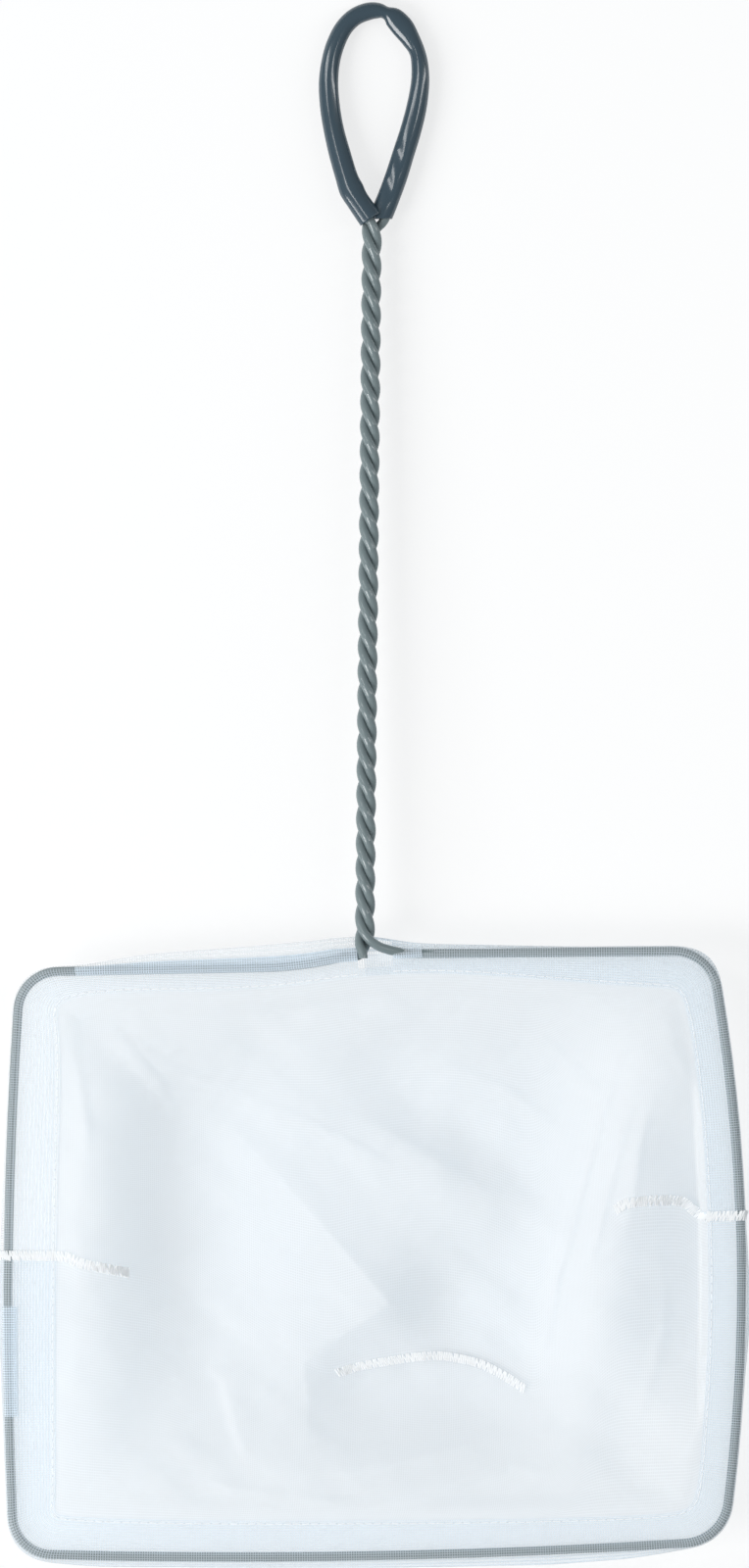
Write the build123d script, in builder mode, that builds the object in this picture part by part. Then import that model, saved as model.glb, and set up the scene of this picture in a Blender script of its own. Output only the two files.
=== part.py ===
from build123d import *
import os
from math import asin, cos, degrees, radians, sin, sqrt

# Coated wire
wire_diameter = 2.5
core_diameter = 1.6
core_clearance = 0.02

# Hoop: corners of the wire's centre line before they are rounded, seen from above
hoop_width = 190.0
hoop_length = 157.0
corner_cut = 10.0
least_corner_cut = 2.0
right_bow = 6.6
bottom_bow = 2.3
left_bow = 2.5
# How far the hand-bent corners stray from a true rectangle
top_right_stray = (-4.5, 3.4)
bottom_right_stray = (-1.3, 1.9)
bottom_left_stray = (-1.6, -1.6)
top_left_stray = (-0.1, -2.3)

# Where the hoop's wire meets the shaft, measured from the shaft's axis and the top corners
right_exit_reach = 14.5
right_run_drop = 0.7
left_knee_reach = 27.5
left_knee_rise = 1.2
left_exit_reach = 5.8
left_exit_rise = 2.9

# Shaft: three strands twisted together, left-hand lay
shaft_offset = -2.5
shaft_rise = 3.3
shaft_lean = 0.57
twist_length = 196.8
whole_turns = 9
part_turn = 0.905
strand_gap = 0.06
first_strand_angle = 180.0
strand_step = 120.0
steps_per_turn = 4
# How far along the twist each strand starts and stops
one_bottom = 0.0
two_bottom = 4.0
three_bottom = -2.5
one_top_short = 2.8
two_top_short = 5.8
three_top_short = 2.2
# The first strand's cut end, below the twist
cut_end_drop = 4.6
cut_end_shift = 1.1
cut_end_lift = 1.6

# Handle loop: centre line of the wire inside the sleeve, measured from the top of the twist
loop_length = 55.4
loop_width = 24.7
loop_widest = 36.5
loop_shift = 0.7
left_mouth = (-2.1, -1.2, 1.5)
left_mouth_lean = 32.0
left_elbow = (-5.6, 6.2)
left_leg_lean = 17.0
right_mouth = (3.8, -0.8, -0.4)
right_leg_lean = 17.0
sleeve_diameter = 5.5
sleeve_wall = 0.85

# Hem: net folded over the wire and stitched
hem_wall = 0.5
hem_clearance = 0.1
hem_depth = 6.0
hem_edge = 1.0
thread_diameter = 0.5
thread_back = 0.4
thread_clearance = 0.03

# Net pouch, collapsed on the surface that it lies on
hoop_height = 18.0
net_wall = 0.8
net_clearance = 0.2
floor_inset = 20.0
floor_corner = 14.0
left_seam_drop = 76.2
right_seam_drop = 69.5
seam_width = 3.4
seam_thickness = 0.8
seam_clearance = 0.02
# How far short of the pouch's middle each side seam is seen
seam_stop = 45.0

UP = Vector(0, 0, 1)

# Sizes that follow
lay = twist_length / (whole_turns + part_turn)
twist_radius = (wire_diameter + strand_gap) / sqrt(3)
top_right = Vector(hoop_width / 2, hoop_length / 2) + Vector(*top_right_stray)
bottom_right = Vector(hoop_width / 2, -hoop_length / 2) + Vector(*bottom_right_stray)
bottom_left = Vector(-hoop_width / 2, -hoop_length / 2) + Vector(*bottom_left_stray)
top_left = Vector(-hoop_width / 2, hoop_length / 2) + Vector(*top_left_stray)
right_exit = Vector(shaft_offset + right_exit_reach, top_right.Y - right_run_drop)
left_knee = Vector(shaft_offset - left_knee_reach, top_left.Y + left_knee_rise)
left_exit = Vector(shaft_offset - left_exit_reach, left_knee.Y + left_exit_rise)
shaft_foot = Vector(shaft_offset, right_exit.Y + shaft_rise)
shaft_way = Vector(sin(radians(shaft_lean)), cos(radians(shaft_lean)))
shaft_side = Vector(cos(radians(shaft_lean)), -sin(radians(shaft_lean)))
shaft_top = shaft_foot + shaft_way * twist_length
right_seam_share = right_seam_drop / (top_right.Y - bottom_right.Y)
left_seam_share = 1 - left_seam_drop / (top_left.Y - bottom_left.Y)
loop_far = shaft_top.Y + left_mouth[1] + loop_length
rim_inset = hem_depth + hem_edge / 2 + net_clearance
thread_inset = hem_depth - thread_back

# The wire lies in one plane that falls from the hoop, propped on the pouch, to the far end of the loop
tilt = degrees(asin((hoop_height - sleeve_diameter / 2) / loop_far))
plane_way = Vector(0, sin(radians(tilt)), cos(radians(tilt)))
wire_plane = Plane(origin=(0, 0, hoop_height), x_dir=(1, 0, 0), z_dir=plane_way)
laid_down = wire_plane.location


def biarc(start, start_way, end, end_way):
    """Two arcs that leave start along start_way and reach end along end_way."""
    span = end - start
    along = span.dot(start_way + end_way)
    bend = 2 * (1 - start_way.dot(end_way))
    reach = span.dot(span) / (sqrt(along**2 + bend * span.dot(span)) + along)
    knee = start + start_way * reach
    next_knee = end - end_way * reach
    middle = (knee + next_knee) / 2
    TangentArc(start, middle, tangent=start_way)
    TangentArc(middle, end, tangent=next_knee - knee)


def strand_place(number, along):
    """Centre of a strand and its way up the shaft, at a distance along the twist."""
    turn = first_strand_angle - strand_step * (number - 1) + 360 * along / lay
    rate = radians(360 / lay) * twist_radius
    across, lift = cos(radians(turn)), sin(radians(turn))
    place = shaft_foot + shaft_way * along + shaft_side * twist_radius * across + UP * twist_radius * lift
    way = shaft_way - shaft_side * rate * lift + UP * rate * across
    return place, way.normalized()


def twist(number, bottom, top):
    """The path of one strand, in short arcs that follow its helix."""
    steps = round((top - bottom) / lay * steps_per_turn)
    stations = [strand_place(number, bottom + (top - bottom) * step / steps) for step in range(steps + 1)]
    for (start, start_way), (end, end_way) in zip(stations, stations[1:]):
        biarc(start, start_way, end, end_way)


def bowed_side(start, end, bow):
    """A side of the hoop between two corners, bent outwards in its middle."""
    outward = UP.cross(end - start).normalized()
    return ThreePointArc(start, (start + end) / 2 + outward * bow, end, mode=Mode.PRIVATE)


def hoop_sides(inset):
    """The hoop's runs and sides, clockwise from the shaft, moved inwards by inset."""
    inner_top_right = top_right + Vector(-inset, -inset)
    inner_bottom_right = bottom_right + Vector(-inset, inset)
    inner_bottom_left = bottom_left + Vector(inset, inset)
    inner_top_left = top_left + Vector(inset, -inset)
    down = Vector(0, -inset)
    top_run = Line(right_exit + down, inner_top_right, mode=Mode.PRIVATE)
    right = bowed_side(inner_top_right, inner_bottom_right, right_bow)
    bottom = bowed_side(inner_bottom_right, inner_bottom_left, bottom_bow)
    left = bowed_side(inner_bottom_left, inner_top_left, left_bow)
    left_run = Line(inner_top_left, left_knee + down, mode=Mode.PRIVATE)
    return top_run, right, bottom, left, left_run


def stretch(side, first, last):
    """Part of a side, between two shares of its length."""
    if side.geom_type == GeomType.LINE:
        Line(side @ first, side @ last)
    else:
        TangentArc(side @ first, side @ last, tangent=side % first)


def corner(before, after, cut):
    """A rounded corner that takes cut from the end of one side and the start of the next."""
    leave = 1 - cut / before.length
    join = cut / after.length
    biarc(before @ leave, before % leave, after @ join, after % join)


def inner_cut(inset):
    """The cut of a corner that runs at a distance inside the hoop's own."""
    return max(corner_cut - inset, least_corner_cut)


def upper_right_run(inset, cut):
    top_run, right, _, _, _ = hoop_sides(inset)
    stretch(top_run, 0, 1 - cut / top_run.length)
    corner(top_run, right, cut)
    stretch(right, cut / right.length, right_seam_share)


def lower_run(inset, cut):
    _, right, bottom, left, _ = hoop_sides(inset)
    stretch(right, right_seam_share, 1 - cut / right.length)
    corner(right, bottom, cut)
    stretch(bottom, cut / bottom.length, 1 - cut / bottom.length)
    corner(bottom, left, cut)
    stretch(left, cut / left.length, left_seam_share)


def upper_left_run(inset, cut):
    _, _, _, left, left_run = hoop_sides(inset)
    stretch(left, left_seam_share, 1 - cut / left.length)
    corner(left, left_run, cut)
    stretch(left_run, cut / left_run.length, 1)
    TangentArc(left_run @ 1, left_exit + Vector(0, -inset), tangent=left_run % 1)


def hoop_path():
    """From the second strand's foot clockwise round the hoop to the third strand's foot."""
    top_run, _, _, _, left_run = hoop_sides(0)
    foot, way = strand_place(2, two_bottom)
    biarc(foot, way * -1, right_exit, top_run % 0)
    upper_right_run(0, corner_cut)
    lower_run(0, corner_cut)
    upper_left_run(0, corner_cut)
    rise = TangentArc(left_run @ 1, left_exit, tangent=left_run % 1, mode=Mode.PRIVATE)
    foot, way = strand_place(3, three_bottom)
    biarc(left_exit, rise % 1, foot, way)


def strand_one_path():
    """The cut end, then up the twist."""
    foot, way = strand_place(1, one_bottom)
    beside = shaft_side * (cut_end_shift - twist_radius)
    end = shaft_foot - shaft_way * cut_end_drop + beside + UP * cut_end_lift
    biarc(end, shaft_way, foot, way)
    twist(1, one_bottom, twist_length - one_top_short)


def strand_two_path():
    twist(2, two_bottom, twist_length - two_top_short)


def strand_three_path():
    twist(3, three_bottom, twist_length - three_top_short)


def lean(angle):
    """A way up the loop, leaning right by angle degrees."""
    return Vector(sin(radians(angle)), cos(radians(angle)))


def sleeve_path():
    """From the sleeve's left mouth over the top of the loop to its right mouth."""
    start = shaft_top + Vector(*left_mouth)
    elbow = shaft_top + Vector(*left_elbow)
    middle = shaft_top.X + loop_shift
    left_side = Vector(middle - loop_width / 2, start.Y + loop_widest)
    right_side = Vector(middle + loop_width / 2, start.Y + loop_widest)
    top = Vector(middle, start.Y + loop_length)
    end = shaft_top + Vector(*right_mouth)
    biarc(start, lean(-left_mouth_lean), elbow, lean(-left_leg_lean))
    biarc(elbow, lean(-left_leg_lean), left_side, lean(0))
    biarc(left_side, lean(0), top, lean(90))
    biarc(top, lean(90), right_side, lean(180))
    biarc(right_side, lean(180), end, lean(180 + right_leg_lean))


def loop_path():
    """The wire from the first strand's top, through the sleeve, to the second strand's top."""
    top, way = strand_place(1, twist_length - one_top_short)
    biarc(top, way, shaft_top + Vector(*left_mouth), lean(-left_mouth_lean))
    sleeve_path()
    top, way = strand_place(2, twist_length - two_top_short)
    biarc(shaft_top + Vector(*right_mouth), lean(180 + right_leg_lean), top, way * -1)


def tube(path, outer, inner=0.0):
    """A round rod or tube along a path."""
    with BuildPart() as piece:
        with BuildLine() as route:
            path()
        with BuildSketch(Plane(route.line @ 0, z_dir=route.line % 0)):
            Circle(outer / 2)
            if inner > 0:
                Circle(inner / 2, mode=Mode.SUBTRACT)
        sweep()
    piece.part.move(laid_down)
    return piece


def core(path):
    return tube(path, core_diameter)


def jacket(path):
    return tube(path, wire_diameter, core_diameter + 2 * core_clearance)


def hem(run):
    """Net folded round the wire: a tunnel with a flat stitched tail towards the inside of the hoop."""
    bore = wire_diameter / 2 + hem_clearance
    with BuildPart() as piece:
        with BuildLine() as route:
            run(0, corner_cut)
        way = route.line % 0
        with BuildSketch(Plane(route.line @ 0, x_dir=way.cross(UP), z_dir=way)):
            Circle(bore + hem_wall)
            with Locations((hem_depth, 0)):
                Circle(hem_edge / 2)
            make_hull()
            Circle(bore, mode=Mode.SUBTRACT)
        sweep()
    piece.part.move(laid_down)
    return piece


def hem_thread(run):
    """The stitching that closes a hem, laid on its tail."""
    piece = tube(lambda: run(thread_inset, inner_cut(thread_inset)), thread_diameter)
    bore = wire_diameter / 2 + hem_clearance + hem_wall
    slope = (bore - hem_edge / 2) / hem_depth
    tail = (bore - slope * thread_inset) / sqrt(1 - slope**2)
    piece.part.move(Location(wire_plane.z_dir * (tail + thread_diameter / 2 + thread_clearance)))
    return piece


def outline(plane, inset, cut):
    """The closed outline of the pouch on a plane, at a distance inside the hoop."""
    with BuildSketch(plane) as face:
        with BuildLine():
            upper_right_run(inset, cut)
            lower_run(inset, cut)
            upper_left_run(inset, cut)
            Line(left_exit + Vector(0, -inset), right_exit + Vector(0, -inset))
        make_face()
    return face.sketch


def pouch(inset):
    """The rim and the floor of the pouch, moved inwards by inset."""
    rim = outline(wire_plane, rim_inset + inset, inner_cut(rim_inset))
    floor = outline(Plane.XY.offset(inset), floor_inset + inset, floor_corner)
    return [rim, floor]


# The seams lie in one upright plane through the two sides of the hoop
right_side = hoop_sides(0)[1]
left_side = hoop_sides(0)[3]
right_seam_end = right_side @ right_seam_share
left_seam_end = left_side @ left_seam_share
seam_way = right_seam_end - left_seam_end
seam_plane = Plane(origin=left_seam_end, x_dir=seam_way, z_dir=UP.cross(seam_way))
seam_run = seam_way.length / 2 - seam_stop

with BuildPart() as pouch_shell:
    loft(pouch(0), ruled=True)
    loft(pouch(net_wall), ruled=True, mode=Mode.SUBTRACT)

with BuildPart() as upper_panel:
    add(pouch_shell.part)
    split(bisect_by=seam_plane, keep=Keep.TOP)

with BuildPart() as lower_panel:
    add(pouch_shell.part)
    split(bisect_by=seam_plane, keep=Keep.BOTTOM)


def side_seam(end, inward):
    """The overlocked band down one side of the pouch and along its floor."""
    with BuildPart() as piece:
        loft(pouch(net_wall + seam_clearance), ruled=True)
        loft(pouch(net_wall + seam_clearance + seam_thickness), ruled=True, mode=Mode.SUBTRACT)
        with BuildSketch(Plane(origin=end, x_dir=inward, z_dir=UP)) as footprint:
            Rectangle(seam_run, seam_width, align=(Align.MIN, Align.CENTER))
        extrude(footprint.sketch, amount=2 * hoop_height, both=True, mode=Mode.INTERSECT)
    return piece


pieces = {
    "hoop_core": core(hoop_path),
    "hoop_jacket": jacket(hoop_path),
    "strand_one_core": core(strand_one_path),
    "strand_one_jacket": jacket(strand_one_path),
    "strand_two_core": core(strand_two_path),
    "strand_two_jacket": jacket(strand_two_path),
    "strand_three_core": core(strand_three_path),
    "strand_three_jacket": jacket(strand_three_path),
    "loop_core": core(loop_path),
    "loop_jacket": jacket(loop_path),
    "handle_sleeve": tube(sleeve_path, sleeve_diameter, sleeve_diameter - 2 * sleeve_wall),
    "upper_panel": upper_panel,
    "lower_panel": lower_panel,
    "upper_right_hem": hem(upper_right_run),
    "lower_hem": hem(lower_run),
    "upper_left_hem": hem(upper_left_run),
    "upper_right_thread": hem_thread(upper_right_run),
    "lower_thread": hem_thread(lower_run),
    "upper_left_thread": hem_thread(upper_left_run),
    "left_seam": side_seam(left_seam_end, seam_way),
    "right_seam": side_seam(right_seam_end, seam_way * -1),
}

os.makedirs("parts", exist_ok=True)
for name, piece in pieces.items():
    piece.part.label = name
    export_step(piece.part, f"parts/{name}.step")
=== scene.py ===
# %% [markdown]
# # An aquarium fish net, lying on a white table
#
# The real object is a hand net for moving fish. One length of plastic-coated steel wire makes its hoop,
# its twisted handle and the loop that it hangs by. A soft tube covers the loop. A bag of fine white mesh
# is hemmed on to the hoop and lies collapsed under it.
#
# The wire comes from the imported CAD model, which is the frame of this scene and stays where it is. This
# script gives it a finish and builds the soft parts, which CAD can only hint at. Lengths are in
# millimetres, and become Blender's metres where a mesh is made.

import math

import bpy
import numpy as np
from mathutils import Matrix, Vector
from mathutils.bvhtree import BVHTree


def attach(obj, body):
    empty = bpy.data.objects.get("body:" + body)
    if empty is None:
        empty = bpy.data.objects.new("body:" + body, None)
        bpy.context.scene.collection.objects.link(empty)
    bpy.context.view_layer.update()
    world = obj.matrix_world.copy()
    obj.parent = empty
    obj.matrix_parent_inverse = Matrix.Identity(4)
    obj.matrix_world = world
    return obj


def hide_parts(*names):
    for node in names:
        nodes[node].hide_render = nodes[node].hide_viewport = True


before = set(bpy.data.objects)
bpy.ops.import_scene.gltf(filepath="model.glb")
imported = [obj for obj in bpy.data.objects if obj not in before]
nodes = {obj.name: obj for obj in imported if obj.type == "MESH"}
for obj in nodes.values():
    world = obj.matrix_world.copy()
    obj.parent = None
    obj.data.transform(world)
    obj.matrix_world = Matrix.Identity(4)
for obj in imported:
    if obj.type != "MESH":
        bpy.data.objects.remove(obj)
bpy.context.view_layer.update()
mm = 0.001
print("CAD nodes:", sorted(nodes))


def in_scene(name, data):
    """A new object for a mesh, curve, lamp or camera."""
    made = bpy.data.objects.new(name, data)
    bpy.context.scene.collection.objects.link(made)
    return made


# %% [markdown]
# ## The camera
#
# The photograph looks straight down and shows almost no perspective. An orthographic camera would show
# none at all. A long lens from far away is nearer to a real picture. The long side of the picture, 1600
# pixels, covers 423 mm at the level of the net, a little above the table.

# %% Camera
picture_height = 422.7
picture_middle = (0.13, 126.8)
net_level = 10.0
lens, sensor = 300.0, 36.0
camera = in_scene("camera", bpy.data.cameras.new("camera"))
camera.data.lens = lens
camera.data.sensor_width = sensor
camera.data.clip_end = 50.0
camera.location = Vector((*picture_middle, net_level + picture_height * lens / sensor)) * mm
bpy.context.scene.camera = camera
print("camera height", round(camera.location.z, 3), "m")

# %% [markdown]
# ## The rim line
#
# The hem follows the hoop, so the hoop's centre line is needed. It could be typed in again from the CAD
# source. Here it is measured: rays in the plane of the hoop meet the wire's outer and inner side, and the
# middle of the two is the centre. Near the handle the wire leaves the hoop, so that gap is bridged.

# %% Measure the hoop
below_handle = 70.0
top_side = 60.0
handle_gap = (-11.0, 14.0)
ray_start = 0.2
rim_count = 1440


def resample(points, count):
    """Points at even distances along an open line."""
    points = np.asarray(points, float)
    steps = np.r_[0, np.cumsum(np.linalg.norm(np.diff(points, axis=0), axis=1))]
    where = np.linspace(0, steps[-1], count)
    return np.stack([np.interp(where, steps, column) for column in points.T], axis=1)


hoop = np.array([point.co for point in nodes["hoop_jacket"].data.vertices]) / mm
hoop = hoop[hoop[:, 1] < below_handle]
hoop_slope, hoop_level = np.polyfit(hoop[:, 1], hoop[:, 2], 1)


def wire_height(y):
    """Height of the wire's plane above the table."""
    return hoop_level + hoop_slope * y


wire_tree = BVHTree.FromObject(nodes["hoop_jacket"], bpy.context.evaluated_depsgraph_get())
middle = Vector((0, 0, hoop_level)) * mm
rim = []
for angle in np.linspace(0, 2 * math.pi, rim_count, endpoint=False):
    way = Vector((math.sin(angle), math.cos(angle), hoop_slope * math.cos(angle)))
    outer = wire_tree.ray_cast(middle + way * ray_start, -way)[0]
    inner = wire_tree.ray_cast(middle, way)[0]
    if outer is None or inner is None:
        continue
    centre = (outer + inner) / 2 / mm
    if not (centre.y > top_side and handle_gap[0] < centre.x < handle_gap[1]):
        rim.append((centre.x, centre.y))
rim = np.array(rim)
first = int(np.argmax((rim[:, 0] > 0) & (rim[:, 1] > top_side)))
rim = np.roll(rim, -first, axis=0)
rim = resample(np.vstack([rim, rim[:1]]), rim_count + 1)[:-1]
rim_way = np.roll(rim, -1, axis=0) - np.roll(rim, 1, axis=0)
rim_way /= np.linalg.norm(rim_way, axis=1)[:, None]
rim_out = np.stack([-rim_way[:, 1], rim_way[:, 0]], axis=1)
rim_length = float(np.linalg.norm(rim - np.roll(rim, 1, axis=0), axis=1).sum())
print("hoop round", round(rim_length), "mm, height at its middle", round(hoop_level, 1), "mm")

# %% [markdown]
# ## The weave
#
# The mesh is woven from fine thread with holes between. A single layer lets the table show through, and
# each further layer is whiter. A weave of real geometry would have millions of threads, so it is a pattern
# that says how much of the cloth is seen at each place, on the cloth's own UV map in metres. It is a node
# group, because panels and hems both use it, each with its own spacing and cover.


# %% Weave group
def socket(tree, name, kind, direction="INPUT", default=None):
    """A named input or output of a node group."""
    made = tree.interface.new_socket(name=name, in_out=direction, socket_type=kind)
    if default is not None:
        made.default_value = default


def put(tree, kind, inputs=(), **settings):
    """A new node. Its inputs are plain values or links, by name or by number."""
    node = tree.nodes.new(kind)
    for key, value in settings.items():
        setattr(node, key, value)
    for key, value in dict(inputs).items():
        if isinstance(value, bpy.types.NodeSocket):
            tree.links.new(value, node.inputs[key])
        else:
            node.inputs[key].default_value = value
    return node


def math_node(tree, operation, *values):
    """The output of a Math node."""
    return put(tree, "ShaderNodeMath", enumerate(values), operation=operation).outputs[0]


weave = bpy.data.node_groups.new("Open weave", "ShaderNodeTree")
for name, default in (("Spacing", 0.00062), ("Gap cover", 0.3), ("Thread cover", 0.6)):
    socket(weave, name, "NodeSocketFloat", default=default)
socket(weave, "Cover", "NodeSocketFloat", "OUTPUT")
given = put(weave, "NodeGroupInput").outputs
cloth_uv = put(weave, "ShaderNodeUVMap", uv_map="cloth").outputs["UV"]
split = put(weave, "ShaderNodeSeparateXYZ", {0: cloth_uv}).outputs
threads = []
for axis in ("X", "Y"):
    turn = math_node(weave, "DIVIDE", split[axis], given["Spacing"])
    wave = math_node(weave, "COSINE", math_node(weave, "MULTIPLY", turn, 2 * math.pi))
    threads.append(math_node(weave, "MULTIPLY_ADD", wave, 0.5, 0.5))
ramp = put(weave, "ShaderNodeMapRange", {
    "Value": math_node(weave, "MAXIMUM", *threads), "From Min": 0.55, "From Max": 0.95,
    "To Min": given["Gap cover"], "To Max": given["Thread cover"]}, interpolation_type="SMOOTHSTEP")
put(weave, "NodeGroupOutput", {"Cover": ramp.outputs["Result"]})
print("weave group:", len(weave.nodes), "nodes")

# %% [markdown]
# ## Cloth and thread finishes
#
# Thin white cloth scatters light to both sides, and the light that comes through is bluer. Subsurface
# scattering could give that, but it is made for thick things. A Translucent shader beside the Principled
# one is plain and quick. The panels, the hems, the slack tent behind the handle and the doubled strips
# differ only in colour, spacing and cover. The tent's finish is painted light: the hem's cloth made paler
# and thinner, to lift the shade that falls on the tent.

# %% Cloth finishes
cloth_through, thread_through = 0.45, 0.05


def finish(name, colour, roughness, **sockets):
    """A material with one Principled shader."""
    made = bpy.data.materials.new(name)
    made.use_nodes = True
    shader = made.node_tree.nodes["Principled BSDF"]
    shader.inputs["Base Color"].default_value = (*colour, 1)
    shader.inputs["Roughness"].default_value = roughness
    for key, value in sockets.items():
        shader.inputs[key.replace("_", " ")].default_value = value
    return made, shader


def mixed(tree, share, shader, other):
    """The output of a mix of two shaders, with a share of the second."""
    return put(tree, "ShaderNodeMixShader", {"Fac": share, 1: shader, 2: other}).outputs["Shader"]


def let_through(tree, shader, glow, share):
    """A shader that passes a share of the light on to the other side, in the colour of the glow."""
    through = put(tree, "ShaderNodeBsdfTranslucent", {"Color": (*glow, 1)})
    return mixed(tree, share, shader.outputs["BSDF"], through.outputs["BSDF"])


def show(tree, shader):
    """Makes a shader the one that the material shows."""
    tree.links.new(shader, tree.nodes["Material Output"].inputs["Surface"])


def net_finish(name, colour, glow, spacing, gap, thread):
    """White mesh: cloth where the weave covers, and plain holes where it doesn't."""
    made, shader = finish(name, colour, 0.85, Sheen_Weight=0.15, Sheen_Roughness=0.4)
    tree = made.node_tree
    sizes = {"Spacing": spacing, "Gap cover": gap, "Thread cover": thread}
    cover = put(tree, "ShaderNodeGroup", sizes, node_tree=weave).outputs["Cover"]
    holes = put(tree, "ShaderNodeBsdfTransparent").outputs["BSDF"]
    show(tree, mixed(tree, cover, holes, let_through(tree, shader, glow, cloth_through)))
    return made


def thread_finish(name, colour):
    """Soft thread, which passes on only a little light."""
    made, shader = finish(name, colour, 0.8)
    show(made.node_tree, let_through(made.node_tree, shader, colour, thread_through))
    return made


net_white = net_finish("net white", (0.98, 0.925, 0.89), (0.68, 0.86, 0.995), 0.00062, 0.60, 0.67)
hem_white = net_finish("hem white", (0.875, 0.905, 0.935), (0.75, 0.885, 0.985), 0.00066, 0.16, 0.74)
# painted light: the hem's cloth, paler and with less cover, lifts the shade on the tent behind the handle
tent_painted_light = net_finish("tent painted light", (0.92, 0.935, 0.95), (0.82, 0.92, 0.99), 0.00066, 0.05, 0.34)
strip_white = net_finish("strip white", (0.90, 0.93, 0.96), (0.76, 0.90, 1.0), 0.00066, 0.28, 0.84)
thread_white = thread_finish("thread white", (0.98, 0.985, 0.99))
print("finishes so far:", len(bpy.data.materials))

# %% [markdown]
# ## Wire, sleeve and steel finishes
#
# The wire's coating is a grey-green plastic with a soft gloss. The sleeve is a glossy, darker and bluer soft
# tube. Bare steel shows only where the wire is cut. A faint mottle keeps the coating from looking like
# paint. It is a bump from noise on Object coordinates, because nothing in it follows the wire.

# %% Hard finishes
wire_green, wire_shader = finish("wire coating", (0.186, 0.229, 0.236), 0.19)
sleeve_slate, _ = finish("sleeve slate", (0.040, 0.068, 0.090), 0.16, Coat_Weight=0.3, Coat_Roughness=0.08)
steel_bright, _ = finish("cut steel", (0.55, 0.56, 0.57), 0.35, Metallic=1.0)
tree = wire_green.node_tree
place = put(tree, "ShaderNodeTexCoord").outputs["Object"]
mottle = put(tree, "ShaderNodeTexNoise", {"Vector": place, "Scale": 900.0, "Detail": 3.0}).outputs["Fac"]
bump = put(tree, "ShaderNodeBump", {"Strength": 0.12, "Distance": 0.0002, "Height": mottle})
tree.links.new(bump.outputs["Normal"], wire_shader.inputs["Normal"])

for name, node in nodes.items():
    node.data.materials.clear()
    node.data.materials.append(steel_bright if name.endswith("core") else wire_green)
    for face in node.data.polygons:
        face.use_smooth = True
print("coated:", [name for name in nodes if name.endswith("jacket")])

# %% [markdown]
# ## The hem
#
# The mesh is folded over the wire and stitched down inside the hoop. In section that is a teardrop: over
# the wire, round its outer side, and back under it. The fold is slack, so it stands off the wire along
# the bottom edge and rises like a tent behind the handle. A curve with a bevel would have one section all
# the way round. So a section is worked out at each point of the rim line, from the slack there and from
# the depth of the tail that is stitched down.

# %% Slack round the rim
hem_radius = 1.42
least_slack = 0.1
facing = 0.7
slack_blend = 31
tent = np.array([
    (-90, 75.9), (-80.7, 77.7), (-60.4, 81.1), (-34.7, 83.0), (-13.6, 84.9), (-2.0, 86.1), (12.3, 83.8),
    (33.7, 83.4), (67.5, 82.8), (76, 82.0)])
lower_edge = np.array([
    (-92, -80.5), (-87.6, -82.4), (-74.4, -83.5), (-40.0, -83.8), (4.9, -83.8), (47.2, -83.0),
    (68.3, -81.4), (81.5, -79.3), (88, -76)])


def swell(y, height, centre, width):
    """A soft bulge along one side."""
    return height * math.exp(-(((y - centre) / width) ** 2))


def hem_slack(point, out):
    """How far the fold stands off the wire."""
    x, y = point
    slack = least_slack
    if out[1] > facing:
        slack = max(slack, np.interp(x, *tent.T) - y - hem_radius)
    if out[1] < -facing:
        slack = max(slack, y - np.interp(x, *lower_edge.T) - hem_radius)
    if out[0] < -facing:
        slack += swell(y, 1.0, -10, 26)
    if out[0] > facing:
        slack += swell(y, 0.9, -14, 14)
    return slack


def evened(values, width):
    """A moving average round the closed rim, over a number of its points."""
    kernel = np.hanning(width + 2)[1:-1]
    padded = np.r_[values[-width:], values, values[:width]]
    return np.convolve(padded, kernel / kernel.sum(), "same")[width:-width]


slack = evened(np.array([hem_slack(p, o) for p, o in zip(rim, rim_out)]), slack_blend)
print("slack", round(slack.min(), 1), "to", round(slack.max(), 1), "mm")

# %% [markdown]
# The tail is narrow along the top and wide on the left. The bag begins where it ends, so that line is
# evened too, and turns softly at the corners.

# %% Tail and the bag's edge
tail_blend, edge_blend = 121, 91


def hem_tail(point, out):
    """How far the stitched tail reaches in from the wire."""
    x, y = point
    top = np.interp(x, [-90, -40, 10, 50, 85], [5.5, 6.2, 4.4, 7.5, 11.0])
    right = np.interp(y, [-70, 0, 70], [8.6, 8.8, 8.4])
    bottom = np.interp(x, [-90, 0, 90], [10.0, 9.5, 7.6])
    left = np.interp(y, [-75, 0, 70], [12.0, 13.0, 12.5])
    weights = np.array([max(out[1], 0), max(out[0], 0), max(-out[1], 0), max(-out[0], 0)]) ** 2
    return float(weights @ np.array([top, right, bottom, left]) / weights.sum())


tail = evened(np.array([hem_tail(p, o) for p, o in zip(rim, rim_out)]), tail_blend)
bag_edge = rim - rim_out * tail[:, None]
bag_edge = np.column_stack([evened(column, edge_blend) for column in bag_edge.T])
tail = np.linalg.norm(bag_edge - rim, axis=1)
rim_in = (bag_edge - rim) / tail[:, None]
print("tail", round(tail.min(), 1), "to", round(tail.max(), 1), "mm")

# %% [markdown]
# A section is a row of points, each so far outward from the wire and so far up. Its two tails mirror each
# other. Behind the handle the lower half hangs lower, because the shaft passes between the halves.
# Sections side by side make a grid of points.

# %% Hem sections
tail_rise = [(1.0, 0.30), (0.78, 0.48), (0.56, 0.72), (0.36, 1.0), (0.2, 1.24)]
lip_angles = np.radians(np.linspace(84, -84, 13))
most_flat = 0.85
handle_x, handle_reach, handle_drop = -2.4, 9.0, 3.2
drop_from, drop_over, drop_columns = 5.0, 4.0, 4
handle_near = np.exp(-(((rim[:, 0] - handle_x) / handle_reach) ** 2)) * (rim[:, 1] > top_side)


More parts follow.
